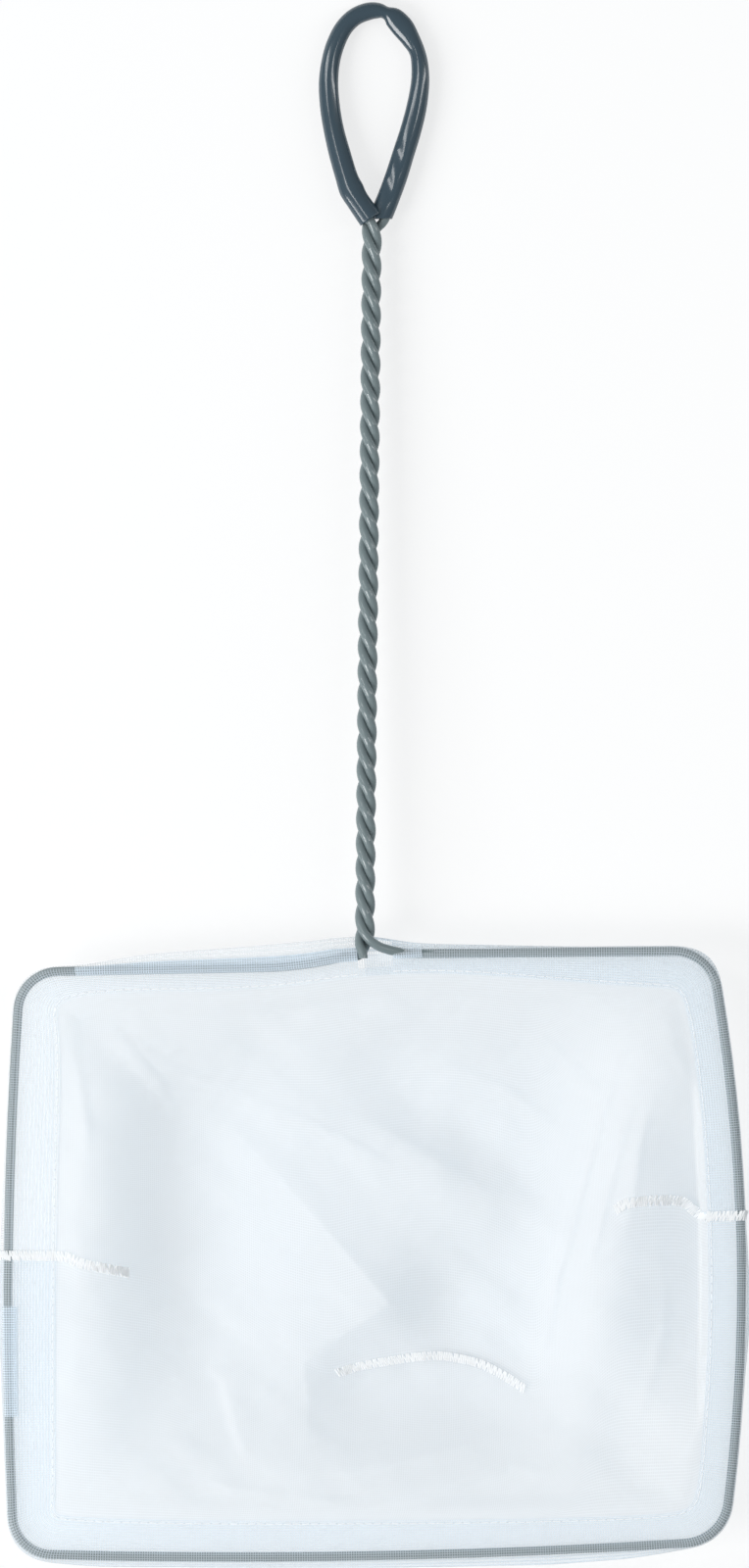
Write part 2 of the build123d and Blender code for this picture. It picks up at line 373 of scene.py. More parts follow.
def smooth(value):
    """A soft step from 0 to 1."""
    value = np.clip(value, 0, 1)
    return value * value * (3 - 2 * value)


def hem_section(index, lift=0.0):
    """Outward and upward places of the fold at one point of the rim, from tail over the wire to tail."""
    depth, stand = tail[index], slack[index]
    over = [(-share * depth, up) for share, up in tail_rise]
    flat = min(stand / 2, most_flat)
    lip = []
    for angle in lip_angles:
        out = hem_radius * math.cos(angle) + stand * math.cos(angle) ** 1.5
        up = hem_radius * math.sin(angle) * (1 - flat * math.cos(angle))
        lip.append((out, up))
    under = [(out, -up) for out, up in reversed(over)]
    section = np.array(over + lip + under)
    half = len(section) // 2
    section[:half, 1] += lift
    drop = handle_drop * handle_near[index]
    behind = smooth((section[half:, 0] + drop_from) / drop_over) * drop
    lower = section[half:, 1]
    section[half:, 1] = np.minimum(lower, lower * (1 - handle_near[index]) - behind)
    section[half - drop_columns:half, 1] -= drop * np.linspace(0.2, 1, drop_columns)
    return section


def hem_grid(indices, lift=0.0):
    """Sections at points of the rim, as places in mm."""
    rows = []
    for index in indices:
        section = hem_section(index, lift)
        across = section[:, :1]
        place = rim[index] + np.where(across > 0, rim_out[index] * across, -rim_in[index] * across)
        rows.append(np.column_stack([place, wire_height(place[:, 1]) + section[:, 1]]))
    return np.array(rows)


print("a hem section has", len(hem_section(0)), "points")

# %% [markdown]
# Every sheet of cloth here is a grid of points. Its UV map holds the cloth's own lengths, so that the weave
# keeps its spacing over folds. Blender could unwrap it, but not in metres.


# %% Cloth from grids
def grid_lengths(grid):
    """The cloth's own two measures at each point of a grid."""
    down = np.r_[0, np.cumsum(np.linalg.norm(np.diff(grid, axis=0), axis=2).mean(1))]
    across = np.r_[0, np.cumsum(np.linalg.norm(np.diff(grid, axis=1), axis=2).mean(0))]
    return np.stack(np.meshgrid(across, down), axis=2)


def smooth_mesh(name, points, faces):
    """A smoothly shaded mesh from points in metres."""
    mesh = bpy.data.meshes.new(name)
    mesh.from_pydata(points.tolist(), [], faces.tolist())
    mesh.polygons.foreach_set("use_smooth", np.ones(len(faces), bool))
    return mesh


def cloth_piece(name, grids, *materials):
    """One object from grids of points in mm.

    A grid comes with a mask of the faces that it leaves out, and the number of each face's material."""
    points, faces, uvs, finishes = [], [], [], []
    for grid, left_out, number in grids:
        rows, columns = grid.shape[:2]
        start = sum(len(p) for p in points)
        index = start + np.arange(rows * columns).reshape(rows, columns)
        quads = np.stack([index[:-1, :-1], index[1:, :-1], index[1:, 1:], index[:-1, 1:]], axis=2)
        kept = ~np.broadcast_to(left_out, quads.shape[:2])
        faces.append(quads[kept])
        finishes.append(np.broadcast_to(number, quads.shape[:2])[kept])
        points.append(grid.reshape(-1, 3))
        uvs.append(grid_lengths(grid).reshape(-1, 2))
    used, faces = np.unique(np.vstack(faces), return_inverse=True)
    faces = faces.reshape(-1, 4)
    mesh = smooth_mesh(name, (np.vstack(points) * mm)[used], faces)
    layer = mesh.uv_layers.new(name="cloth")
    layer.data.foreach_set("uv", (np.vstack(uvs) * mm)[used][faces.ravel()].ravel())
    for material in materials:
        mesh.materials.append(material)
    mesh.polygons.foreach_set("material_index", np.concatenate(finishes).astype(np.int32))
    print(name, len(faces), "faces")
    return in_scene(name, mesh)


# %% [markdown]
# The hem is three pieces, which meet at the two side seams and at the handle. The shaft comes through a slit
# in its upper side. On three stretches the cloth lies in more layers and the wire looks paler, so two
# strips lie over the hem there, a hair apart. A paler finish on the hem would be simpler, but layers of
# mesh look right from every side.

# %% The three hems
slit_left, slit_right, slit_margin = -4.3, 5.0, 2
strip_lifts = (0.18, 0.36)
strip_outward = 0.8
strip_first, strip_short = 4, 3
lip_after = 6


def rim_index(x, y):
    """The number of the rim's point that is nearest to a place."""
    return int(np.argmin(np.linalg.norm(rim - np.array([x, y]), axis=1)))


def rim_run(start, end, step=1):
    """The numbers of the rim's points from one to another, also past the end of the list."""
    if end < start:
        end += rim_count
    return np.arange(start, end + 1, step) % rim_count


right_seam_at = rim_index(98.7, 10.8)
left_seam_at = rim_index(-98.0, 0.0)
handle_at = rim_index(handle_x, 80.0)


def hem_piece(name, start, end, doubled, lip_finish=hem_white):
    """A stretch of hem, doubled where the rim lies between two corners."""
    indices = rim_run(start, end)
    grid = hem_grid(indices)
    half = grid.shape[1] // 2
    x, y = grid[:-1, 0, 0], grid[:-1, 0, 1]
    left_out = np.zeros((grid.shape[0] - 1, grid.shape[1] - 1), bool)
    left_out[(y > top_side) & (x > slit_left) & (x < slit_right), slit_margin:half - slit_margin] = True
    grids = [(grid, left_out, np.arange(grid.shape[1] - 1) > lip_after)]
    low, high = doubled
    chosen = [i for i in indices if (low < rim[i]).all() and (rim[i] < high).all()]
    for lift in strip_lifts:
        extra = hem_grid(chosen, lift=lift)[:, strip_first:half - strip_short]
        extra[:, :, 0:2] += (rim_out[chosen] * lift * strip_outward)[:, None, :]
        grids.append((extra, False, 2))
    return cloth_piece(name, grids, hem_white, lip_finish, strip_white)


upper_right_cloth = hem_piece("hem_upper_right", handle_at, right_seam_at, ((5.0, 60), (12.9, 99)))
lower_cloth = hem_piece("hem_lower", right_seam_at, left_seam_at, ((-110, -43.6), (-60, -13.2)))
# the lip of this hem is the tent, with the tent's painted light: a paler, thinner copy of the hem's cloth
upper_left_cloth = hem_piece("hem_upper_left", left_seam_at, handle_at, ((-80.7, 60), (-4.3, 99)), tent_painted_light)

# %% [markdown]
# ## The bag
#
# The bag is two panels, sewn together along a seam from one side of the hoop to the other. It hangs from
# the hem to the table and lies there in soft folds. A cloth simulation would fold the bag too, but not in
# the places that the photograph shows. So the cloth is laid: first each panel is a flat grid of points
# between the hem and the seam, and then each point gets its height.

# %% Plan of the two panels
columns, rows = 300, 200
seam_blend, seam_ends = 9, 12
top_left_at, top_right_at = rim_index(-92.0, 71.0), rim_index(87.0, 77.0)
bottom_right_at, bottom_left_at = rim_index(91.0, -73.0), rim_index(-93.0, -77.0)
seam_line = np.array([
    (-84.0, -1.0), (-70.0, -4.0), (-57.2, -6.6), (-40, -19), (-25, -28), (-12.3, -32.8), (-3.0, -30.1),
    (10.2, -28.0), (18.1, -27.5), (28.7, -29.6), (36.6, -33.8), (43.2, -38.5), (48.0, -34.0), (54.0, -14.0),
    (60.0, 6.0), (65.7, 13.7), (73.0, 14.6), (81.5, 14.8), (90.0, 12.5)])


def edge_run(start, end, count):
    """Points at even distances along the bag's edge."""
    return resample(bag_edge[rim_run(start, end)], count)


def patch(top, bottom, left, right):
    """A grid of plan points that fills the space between four edges."""
    across = np.linspace(0, 1, len(top))[None, :, None]
    down = np.linspace(0, 1, len(left))[:, None, None]
    edges = top[None] * (1 - down) + bottom[None] * down
    edges = edges + left[:, None] * (1 - across) + right[:, None] * across
    top_ends = top[0] * (1 - across) + top[-1] * across
    bottom_ends = bottom[0] * (1 - across) + bottom[-1] * across
    return edges - (top_ends * (1 - down) + bottom_ends * down)


left_mid, right_mid = bag_edge[left_seam_at], bag_edge[right_seam_at]
seam_x = np.linspace(left_mid[0], right_mid[0], columns)
seam_y = np.pad(np.interp(seam_x, *seam_line.T), seam_blend, "edge")
bell = np.hanning(2 * seam_blend + 1)
seam_y = np.convolve(seam_y, bell / bell.sum(), "same")[seam_blend:-seam_blend]
straight = np.interp(seam_x, [left_mid[0], right_mid[0]], [left_mid[1], right_mid[1]])
from_ends = np.minimum(np.arange(columns), np.arange(columns)[::-1])
seam_y = straight + (seam_y - straight) * smooth(from_ends / seam_ends)
seam_plan = np.column_stack([seam_x, seam_y])
upper_plan = patch(
    edge_run(top_left_at, top_right_at, columns), seam_plan,
    edge_run(left_seam_at, top_left_at, rows)[::-1], edge_run(top_right_at, right_seam_at, rows))
lower_plan = patch(
    seam_plan, edge_run(bottom_right_at, bottom_left_at, columns)[::-1],
    edge_run(bottom_left_at, left_seam_at, rows)[::-1], edge_run(right_seam_at, bottom_right_at, rows))
print("panel grids", upper_plan.shape[:2], lower_plan.shape[:2])

# %% [markdown]
# The height of the cloth is worked out on a plain square grid over the table, where a shape is easy to
# soften, and is then read off at the panels' points.

# %% A grid over the table
step = 0.5
field_x = np.arange(-106, 106 + step, step)
field_y = np.arange(-92, 92 + step, step)
grid_x, grid_y = np.meshgrid(field_x, field_y)


def softened(field, width):
    """A field of heights, blurred over a width in mm."""
    reach = int(3 * width / step)
    bell = np.exp(-0.5 * (np.arange(-reach, reach + 1) * step / width) ** 2)
    padded = np.pad(field, reach, "edge")
    for axis in (0, 1):
        padded = np.apply_along_axis(np.convolve, axis, padded, bell / bell.sum(), "same")
    return padded[reach:-reach, reach:-reach]


def read_field(field, x, y):
    """The field's height at any place, between its grid points."""
    u, v = (x - field_x[0]) / step, (y - field_y[0]) / step
    i, j = np.floor(u).astype(int), np.floor(v).astype(int)
    u, v = u - i, v - j
    near_row = field[j, i] * (1 - u) + field[j, i + 1] * u
    far_row = field[j + 1, i] * (1 - u) + field[j + 1, i + 1] * u
    return near_row * (1 - v) + far_row * v


print("heights on", grid_x.size, "places")

# %% [markdown]
# The bag is deeper than the hoop is high, so it lies in a heap and its upper side rises and falls. That lie
# is given at chosen places, and a thin springy sheet is bent through them and through the hem, as a cloth
# would bend: without corners. The weights come from one set of linear equations.

# %% The lie of the bag
hold_every = 36
hang_x, hang_low, hang_high = 80, -40, 36
sheet_give, lie_blur = 10.0, 1.5
lie = [
    # left wall: level beside the hem, then the fall to the valley beside the flap
    (-77, 44, 16.0), (-80, 20, 18.4), (-81, -2, 19.0), (-80, -26, 19.4), (-76, -50, 19.6),
    (-70, 43, 15.2), (-72, 20, 17.4), (-73, -2, 17.8), (-72, -22, 18.4), (-66, -50, 18.4),
    (-61, 39, 12.0), (-64, 18, 13.2), (-65, 0, 13.4), (-63, -20, 15.6),
    (-54, 35, 8.6), (-57, 14, 9.0), (-58, -2, 9.2), (-56, -22, 13.0), (-55, -46, 17.4), (-42, 41, 8.4),
    (-48, 25, 6.8), (-51, 8, 6.6), (-51, -8, 7.4), (-48, -26, 11.4), (-44, -42, 15.6), (-42, -58, 17.6),
    # flap, rising to its point, and the drop past the point
    (-28, 23, 9.4), (-16, 10.6, 11.0), (-6, -1, 12.4), (4.4, -13.2, 13.4), (-9.6, -22.5, 12.8),
    (-18, -32, 13.0), (-17.5, -46, 14.6),
    (10, -5, 9.6), (12, -12, 7.6), (19, -11, 4.4), (28, -15, 4.4), (12, -22, 7.6), (5, 1, 11.2),
    # ridge from the upper left, level ground below it, hollow above its right end
    (-72, 62, 13.0), (-48, 53, 10.8), (-14, 40, 10.2), (2, 33, 10.2), (18, 24, 9.8), (32, 15, 8.0),
    (-12, 26, 10.4), (2, 12, 10.4), (16, 8, 8.8), (-4, 46, 8.2), (11, 39, 5.8), (25, 30, 5.0), (38, 22, 5.0),
    (20, 47, 7.4), (36, 38, 6.4),
    (4, 53, 6.8), (4, 66, 12.6), (40, 54, 7.6), (-30, 58, 9.4),
    # middle, and the ground that rises to the lower hem
    (34, 0, 5.6), (36, -20, 4.8), (34, -34, 5.2), (10, -31, 5.6), (-6, -32, 8.0), (8, -42, 8.6),
    (28, -44, 8.0), (-4, -57, 16.4), (30, -57, 15.2),
    # rise to the right, its crest, and the fall beyond it
    (44, 12, 6.8), (50, 32, 8.2), (56, 50, 9.6), (46, -10, 6.8), (43, -32, 6.4),
    (55, 12, 12.0), (60, 30, 13.4), (65, 48, 14.0), (53, -12, 12.0), (50, -34, 11.4),
    (63, 8, 19.4), (68, 28, 18.8), (72, 46, 16.8), (60, -16, 19.2), (56, -40, 17.0), (74, 4, 13.6),
    (72, -24, 13.8), (79, 28, 13.6), (68, -50, 15.0), (84, 4, 8.6), (83, -22, 9.4), (85, 24, 11.0),
]
# the hem holds the sheet, apart from the right side, where the bag hangs straight down from it
for x, y in bag_edge[::hold_every]:
    if not (x > hang_x and hang_low < y < hang_high):
        lie.append((x, y, wire_height(y)))


def bent_sheet(points, give):
    """A springy sheet through points of (x, y, height), on the grid. Give lets it pass a little off them."""
    points = np.array(points, float)
    count = len(points)

    def bending(square):
        return 0.5 * square * np.log(np.maximum(square, 1e-9))

    apart = ((points[:, None, :2] - points[None, :, :2]) ** 2).sum(axis=2)
    plane = np.column_stack([np.ones(count), points[:, :2]])
    system = np.block([[bending(apart) + give * np.eye(count), plane], [plane.T, np.zeros((3, 3))]])
    weights = np.linalg.solve(system, np.r_[points[:, 2], 0, 0, 0])
    field = weights[count] + weights[count + 1] * grid_x + weights[count + 2] * grid_y
    for (x, y, _), weight in zip(points, weights):
        field += weight * bending((grid_x - x) ** 2 + (grid_y - y) ** 2)
    return field


lie_heights = softened(bent_sheet(lie, sheet_give), lie_blur)
print("the bag lies on", len(lie), "points")

# %% [markdown]
# A crease is a low crest line with a height at each of its points. It falls away to both sides, each at its
# own rate, so that one side can be steep and the other gentle. Sculpting would do it too, but a list of
# lines can be read and moved.

# %% Creases
crease_blur = 0.5
far_off = 1e9
creases = [
    # points of (x, y, height), then the width of the left and of the right side
    ([(-16, 41, 0), (2, 33.5, 0.7), (18, 24.5, 1.3), (30, 16, 0.7), (38, 9, 0)], 2.2, 6.0),
    ([(68, 58, 0), (62, 40, 1.0), (57, 22, 1.3), (52, 2, 0.9), (48, -14, 0)], 1.2, 2.0),
    ([(72, 50, 0), (66, 30, 0.9), (61, 10, 1.2), (57, -8, 0)], 1.3, 2.2),
    ([(58, 34, 0), (54, 14, 0.9), (49, -8, 1.3), (46, -28, 0)], 1.1, 1.8),
    ([(76, 46, 0), (72, 32, 0.6), (70, 18, 0.7), (67, 2, 0)], 1.3, 2.0),
    ([(-76, 66, 0), (-66, 56, 0.5), (-58, 46, 0.6), (-52, 34, 0)], 1.6, 2.4),
    ([(-68, 60, 0), (-56, 51, 0.4), (-44, 46, 0.5), (-18, 38, 0)], 1.6, 2.4),
    ([(-46, 45, 0), (-26, 39, 0.4), (-8, 31, 0.6), (6, 24, 0.4), (18, 14, 0)], 1.6, 2.6),
    ([(-32, 71, 0), (-14, 66, 0.3), (4, 60, 0.4), (38, 47, 0)], 1.8, 2.8),
    ([(-60, -57, 0), (-36, -63, 0.4), (-10, -66, 0.5), (36, -62, 0)], 1.4, 2.2),
    ([(18, -50, 0), (32, -55, 0.4), (44, -58, 0.5), (68, -51, 0)], 1.5, 2.2),
    ([(76, 6, 0), (78, -8, 0.3), (78, -22, 0.5), (68, -54, 0)], 1.4, 2.2),
    ([(-46, -28, 0), (-40, -34, 0.7), (-37, -46, 0.9), (-33, -58, 0)], 5.0, 1.6),
    ([(-22, -70, 0), (-4, -68, 0.6), (16, -64, 0.9), (34, -57, 0.9), (50, -46, 0)], 4.0, 1.4),
    ([(-30, -58, 0), (-8, -58, 0.5), (16, -54, 0.7), (44, -47, 0)], 3.0, 1.4),
    ([(-86, 62, 0), (-80, 50, 0.5), (-77, 34, 0.6), (-78, 20, 0)], 1.4, 1.8),
    ([(-10, 62, 0), (14, 54, 0.5), (36, 44, 0.7), (56, 28, 0)], 1.6, 2.8),
    ([(30, 66, 0), (48, 56, 0.5), (60, 44, 0.6), (68, 28, 0)], 1.4, 2.4),
]


def along_line(line):
    """Each grid point's distance to a line of (x, y, height), the line's height there, and the side."""
    nearest = np.full(grid_x.shape, far_off)
    height, side = np.zeros(grid_x.shape), np.zeros(grid_x.shape)
    for (ax, ay, az), (bx, by, bz) in zip(line[:-1], line[1:]):
        dx, dy = bx - ax, by - ay
        share = np.clip(((grid_x - ax) * dx + (grid_y - ay) * dy) / (dx * dx + dy * dy), 0, 1)
        away = np.hypot(grid_x - ax - share * dx, grid_y - ay - share * dy)
        offset = (dx * (grid_y - ay) - dy * (grid_x - ax)) / math.hypot(dx, dy)
        level = abs(away - nearest) < 1e-6
        nearer = (away < nearest - 1e-6) | (level & (abs(offset) > abs(side)))
        nearest = np.where(nearer, away, nearest)
        height = np.where(nearer, az + share * (bz - az), height)
        side = np.where(nearer, offset, side)
    return nearest, height, np.sign(side)


def crease_field(line, left, right):
    """The height of one crease over the table."""
    away, height, side = along_line(line)
    return height * np.exp(-((away / np.where(side > 0, left, right)) ** 2))


crease_heights = softened(np.max([crease_field(*crease) for crease in creases], axis=0), crease_blur)
print("creases up to", round(crease_heights.max(), 1), "mm")

# %% [markdown]
# The largest fold is a flap on the left that ends in a point near the middle of the bag. Its two edges are
# the only crisp lines in the bag, so they get a crest that isn't softened.

# %% Flap
flap_fall = 7.0
flap_edge = [
    (-40.0, 35.5, 0), (-28.0, 23.2, 0.9), (-16.2, 10.6, 1.3), (4.4, -13.2, 2.0), (-9.6, -22.5, 1.5),
    (-18.9, -29.1, 1.4), (-17.6, -39.6, 1.2), (-18.0, -56.0, 0)]
edge_away, edge_height, _ = along_line(flap_edge)
flap_heights = edge_height * np.exp(-edge_away / flap_fall)
print("flap's edge up to", round(flap_heights.max(), 1), "mm")

# %% [markdown]
# Ripples run all over the cloth, from wide swells to fine wrinkles. A Displace modifier could add them,
# but only after the bag is laid. These are random heights with fixed seeds, on cells that can be
# stretched and turned, because wrinkles run one way.

# %% Ripples
drawn_cells, first_cell = 256, 50
ripples = [
    # height, then size, seed, stretch and turn
    (0.5, 42, 3, 1.0, 0), (0.3, 19, 4, 1.6, 28), (0.32, 6, 5, 3.5, -40), (0.12, 2.6, 6, 2.0, 25),
]


def noise(size, seed, stretch, turn):
    """Smooth random heights between -1 and 1, on cells of a size in mm that are stretched and turned."""
    c, s = math.cos(math.radians(turn)), math.sin(math.radians(turn))
    u = (grid_x * c + grid_y * s) / (size * stretch) + first_cell
    v = (-grid_x * s + grid_y * c) / size + first_cell
    drawn = np.random.default_rng(seed).uniform(-1, 1, (drawn_cells, drawn_cells))
    i, j = np.floor(u).astype(int), np.floor(v).astype(int)
    fu, fv = u - i, v - j
    fu, fv = fu**3 * (fu * (fu * 6 - 15) + 10), fv**3 * (fv * (fv * 6 - 15) + 10)

    def at(a, b):
        return drawn[a % drawn_cells, b % drawn_cells]

    low = at(i, j) * (1 - fu) + at(i + 1, j) * fu
    high = at(i, j + 1) * (1 - fu) + at(i + 1, j + 1) * fu
    return low * (1 - fv) + high * fv


ripple_heights = sum(height * noise(*kind) for height, *kind in ripples)
print("ripples up to", round(abs(ripple_heights).max(), 1), "mm")

# %% [markdown]
# The whole bag is the lie with ripples, the flap and the creases on it. Away from the hem it settles until
# its lowest hollow lies on the table. Close to the hem it takes the hem's height, over a short way on
# the right, where it hangs steeply, and over a longer way elsewhere.

# %% The whole bag
table_gap = 0.2
hem_way, steep_way = 7, 2
steep_x, steep_over = 70, 14
corner_y, corner_over = 62, 20
settle_from, settle_over, settle_blur = 12, 18, 4.0
well_inside = 20
edge_distance = np.full(grid_x.shape, far_off)
edge_outward = np.zeros(grid_x.shape)
for (ex, ey), (ox, oy) in zip(bag_edge[::2], rim_out[::2]):
    away = np.hypot(grid_x - ex, grid_y - ey)
    closer = away < edge_distance
    edge_distance = np.where(closer, away, edge_distance)
    edge_outward = np.where(closer, (grid_x - ex) * ox + (grid_y - ey) * oy, edge_outward)
inward = np.where(edge_outward > 0, 0.0, edge_distance)
near_right = smooth((grid_x - steep_x) / steep_over)
off_corners = smooth((corner_y - abs(grid_y)) / corner_over)
free = smooth(inward / (hem_way - (hem_way - steep_way) * near_right * off_corners))
heap = lie_heights + ripple_heights + flap_heights + crease_heights
settle = heap[inward > well_inside].min() - table_gap
heap = heap - settle * softened(smooth((inward - settle_from) / settle_over), settle_blur)
heap = np.maximum(heap, table_gap)
bag_heights = heap * free + wire_height(grid_y) * (1 - free)
print("the heap settles by", round(settle, 1), "mm")
inside = bag_heights[inward > hem_way]
print("bag lies", round(inside.min(), 1), "to", round(inside.max(), 1), "mm high")

# %% [markdown]
# A panel's points have their plan already. Each reads its height from the finished bag, so the two panels
# meet along the seam without a step.


# %% The two panels
def panel(plan):
    """The plan's points, each at the bag's height."""
    return np.dstack([plan, read_field(bag_heights, plan[:, :, 0], plan[:, :, 1])])


upper, lower = panel(upper_plan), panel(lower_plan)
upper_net = cloth_piece("net_upper", [(upper, False, False)], net_white)
lower_net = cloth_piece("net_lower", [(lower, False, False)], net_white)

# %% [markdown]
# ## Stitches
#
# The seam is overlocked: slanting stitches close together across both edges of the cloth. The hem is held
# by one row of longer stitches. Both repeat along a path, so one Geometry Nodes tree makes them: it spaces
# points along a curve and puts a short, flat-pressed piece of thread on each. The threads stay level even
# where the cloth slopes, so that they catch the light.


# %% Stitch tree
def stitch_tree():
    """Stitches along a curve, each turned by a slant and a random wander."""
    tree = bpy.data.node_groups.new("Stitch row", "GeometryNodeTree")
    socket(tree, "Geometry", "NodeSocketGeometry")
    for name, default in (
            ("Pitch", 0.001), ("Stitch length", 0.003), ("Thread", 0.0003), ("Slant", 0.0), ("Wander", 0.1)):
        socket(tree, name, "NodeSocketFloat", default=default)
    socket(tree, "Seed", "NodeSocketInt", default=1)
    socket(tree, "Finish", "NodeSocketMaterial")
    socket(tree, "Geometry", "NodeSocketGeometry", "OUTPUT")
    given = put(tree, "NodeGroupInput").outputs

    # points along the path
    path = {"Curve": given["Geometry"], "Length": given["Pitch"]}
    spaced = put(tree, "GeometryNodeResampleCurve", path, mode="LENGTH")

    # one stitch: a six-sided thread from side to side, pressed flat
    half = math_node(tree, "MULTIPLY", given["Stitch length"], 0.5)
    start = put(tree, "ShaderNodeCombineXYZ", {"X": math_node(tree, "MULTIPLY", half, -1.0)})
    end = put(tree, "ShaderNodeCombineXYZ", {"X": half})
    bar = put(tree, "GeometryNodeCurvePrimitiveLine", {"Start": start.outputs[0], "End": end.outputs[0]})
    radius = math_node(tree, "MULTIPLY", given["Thread"], 0.5)
    ring = put(tree, "GeometryNodeCurvePrimitiveCircle", {"Resolution": 6, "Radius": radius})
    thread = put(tree, "GeometryNodeCurveToMesh", {
        "Curve": bar.outputs["Curve"], "Profile Curve": ring.outputs["Curve"], "Fill Caps": True})
    faceted = put(tree, "GeometryNodeSetShadeSmooth", {
        "Geometry": thread.outputs["Mesh"], "Shade Smooth": False})
    pressed = put(tree, "GeometryNodeTransform", {
        "Geometry": faceted.outputs["Geometry"], "Scale": (1, 1, 0.15)})

    # its turn: level, across the path, then slanted
    tangent = put(tree, "GeometryNodeInputTangent").outputs["Tangent"]
    level = put(tree, "ShaderNodeVectorMath", {0: tangent, 1: (1, 1, 0)}, operation="MULTIPLY")
    along = put(tree, "FunctionNodeAlignRotationToVector", {"Vector": level.outputs["Vector"]}, axis="Y")
    upright = put(tree, "FunctionNodeAlignRotationToVector", {
        "Rotation": along.outputs["Rotation"], "Vector": (0, 0, 1)}, axis="Z", pivot_axis="Y")
    wander = put(tree, "FunctionNodeRandomValue", {"Seed": given["Seed"]}, data_type="FLOAT")
    lowest, highest = [slot for slot in wander.inputs if slot.type == "VALUE"][:2]
    tree.links.new(math_node(tree, "MULTIPLY", given["Wander"], -1.0), lowest)
    tree.links.new(given["Wander"], highest)
    drawn = next(slot for slot in wander.outputs if slot.type == "VALUE")
    angle = math_node(tree, "ADD", given["Slant"], drawn)
    spin = put(tree, "FunctionNodeAxisAngleToRotation", {"Axis": (0, 0, 1), "Angle": angle})
    both = {"Rotation": upright.outputs["Rotation"], "Rotate By": spin.outputs["Rotation"]}
    turn = put(tree, "FunctionNodeRotateRotation", both, rotation_space="LOCAL")

    # a stitch on each point
    placed = put(tree, "GeometryNodeInstanceOnPoints", {
        "Points": spaced.outputs["Curve"], "Instance": pressed.outputs["Geometry"],
        "Rotation": turn.outputs["Rotation"]})
    real = put(tree, "GeometryNodeRealizeInstances", {"Geometry": placed.outputs["Instances"]})
    dressed = put(tree, "GeometryNodeSetMaterial", {
        "Geometry": real.outputs["Geometry"], "Material": given["Finish"]})
    put(tree, "NodeGroupOutput", {"Geometry": dressed.outputs["Geometry"]})
    return tree


stitch_row = stitch_tree()
print("stitch tree:", len(stitch_row.nodes), "nodes")


# %% A row of stitches
def stitches(name, path, pitch, length, thread, slant, wander, seed):
    """A mesh of stitches along a path of points in mm."""
    curve = bpy.data.curves.new(name, "CURVE")
    curve.dimensions = "3D"
    spline = curve.splines.new("POLY")
    spline.points.add(len(path) - 1)
    spline.points.foreach_set("co", np.column_stack([path * mm, np.ones(len(path))]).ravel())
    row = in_scene(name + "_path", curve)
    sewing = row.modifiers.new("stitches", "NODES")
    sewing.node_group = stitch_row
    values = {
        "Pitch": pitch * mm, "Stitch length": length * mm, "Thread": thread * mm,
        "Slant": math.radians(slant), "Wander": math.radians(wander), "Seed": seed, "Finish": thread_white}
    for item in stitch_row.interface.items_tree:
        if item.name in values:
            sewing[item.identifier] = values[item.name]
    bpy.context.view_layer.update()
    evaluated = row.evaluated_get(bpy.context.evaluated_depsgraph_get())
    mesh = bpy.data.meshes.new_from_object(evaluated)
    mesh.name = name
    bpy.data.objects.remove(row)
    print(name, len(mesh.polygons), "faces")
    return in_scene(name, mesh)


# %% [markdown]
# The seam runs from the hem's outer fold over the wire and on along the join of the panels. It is sewn
# only on the three stretches that show from above. The hem's row lies just inside the end of its
# tail, and stops on both sides of the slit.

# %% Seam and hem rows
hem_clear = 0.3
seam_lift = 0.9
row_inset = 0.8
row_lift = 0.62
path_points = 200


def over_hem(index):
    """From the hem's outer fold over the wire to the tail, at one point of the rim."""
    across = hem_grid([index], lift=hem_clear)[0]
    return across[:len(across) // 2 + 1][::-1]


seam_row = upper[-1] + np.array([0, 0, seam_lift])


def seam_between(low, high):
    """A stretch of the seam, between two places across the bag."""
    return seam_row[(seam_row[:, 0] > low) & (seam_row[:, 0] < high)]


def overlock(name, path, length, slant, seed):
    """Slanting stitches, close together and a little uneven."""
    path = resample(path, path_points)
    return stitches(name, path, 0.5, length, thread=0.44, slant=slant, wander=18, seed=seed)


def hem_row(name, start, end):
    """Long stitches along the hem's tail."""
    indices = rim_run(start, end, 2)
    place = rim[indices] + rim_in[indices] * (tail[indices] - row_inset)[:, None]
    path = np.column_stack([place, wire_height(place[:, 1]) + row_lift])
    x, y = place.T
    at_slit = (y > top_side) & (x > slit_left - 1) & (x < slit_right + 1)
    return stitches(name, path[~at_slit], 2.4, 1.9, thread=0.22, slant=90, wander=4, seed=20)


left_path = np.vstack([over_hem(left_seam_at), seam_between(-84, -66)[1:]])
right_path = np.vstack([over_hem(right_seam_at), seam_between(64.5, 89)[::-1][1:]])
left_seam = overlock("seam_left", left_path, 2.8, 15, 11)
right_seam = overlock("seam_right", right_path, 2.8, -15, 12)
middle_seam = overlock("seam_middle", seam_between(-10, 41), 2.4, 15, 13)
upper_right_row = hem_row("stitches_upper_right", handle_at, right_seam_at)
lower_row = hem_row("stitches_lower", right_seam_at, left_seam_at)
upper_left_row = hem_row("stitches_upper_left", left_seam_at, handle_at)

# %% [markdown]
# ## The sleeve on the loop
#
# The sleeve is a soft tube pushed over the wire. It is wider at its two mouths, flattened on the legs, and
# buckled at the top right where the loop turns sharply. A bevelled curve has one round section, which can't
# buckle. So rings of changing width are set along a smooth centre line.

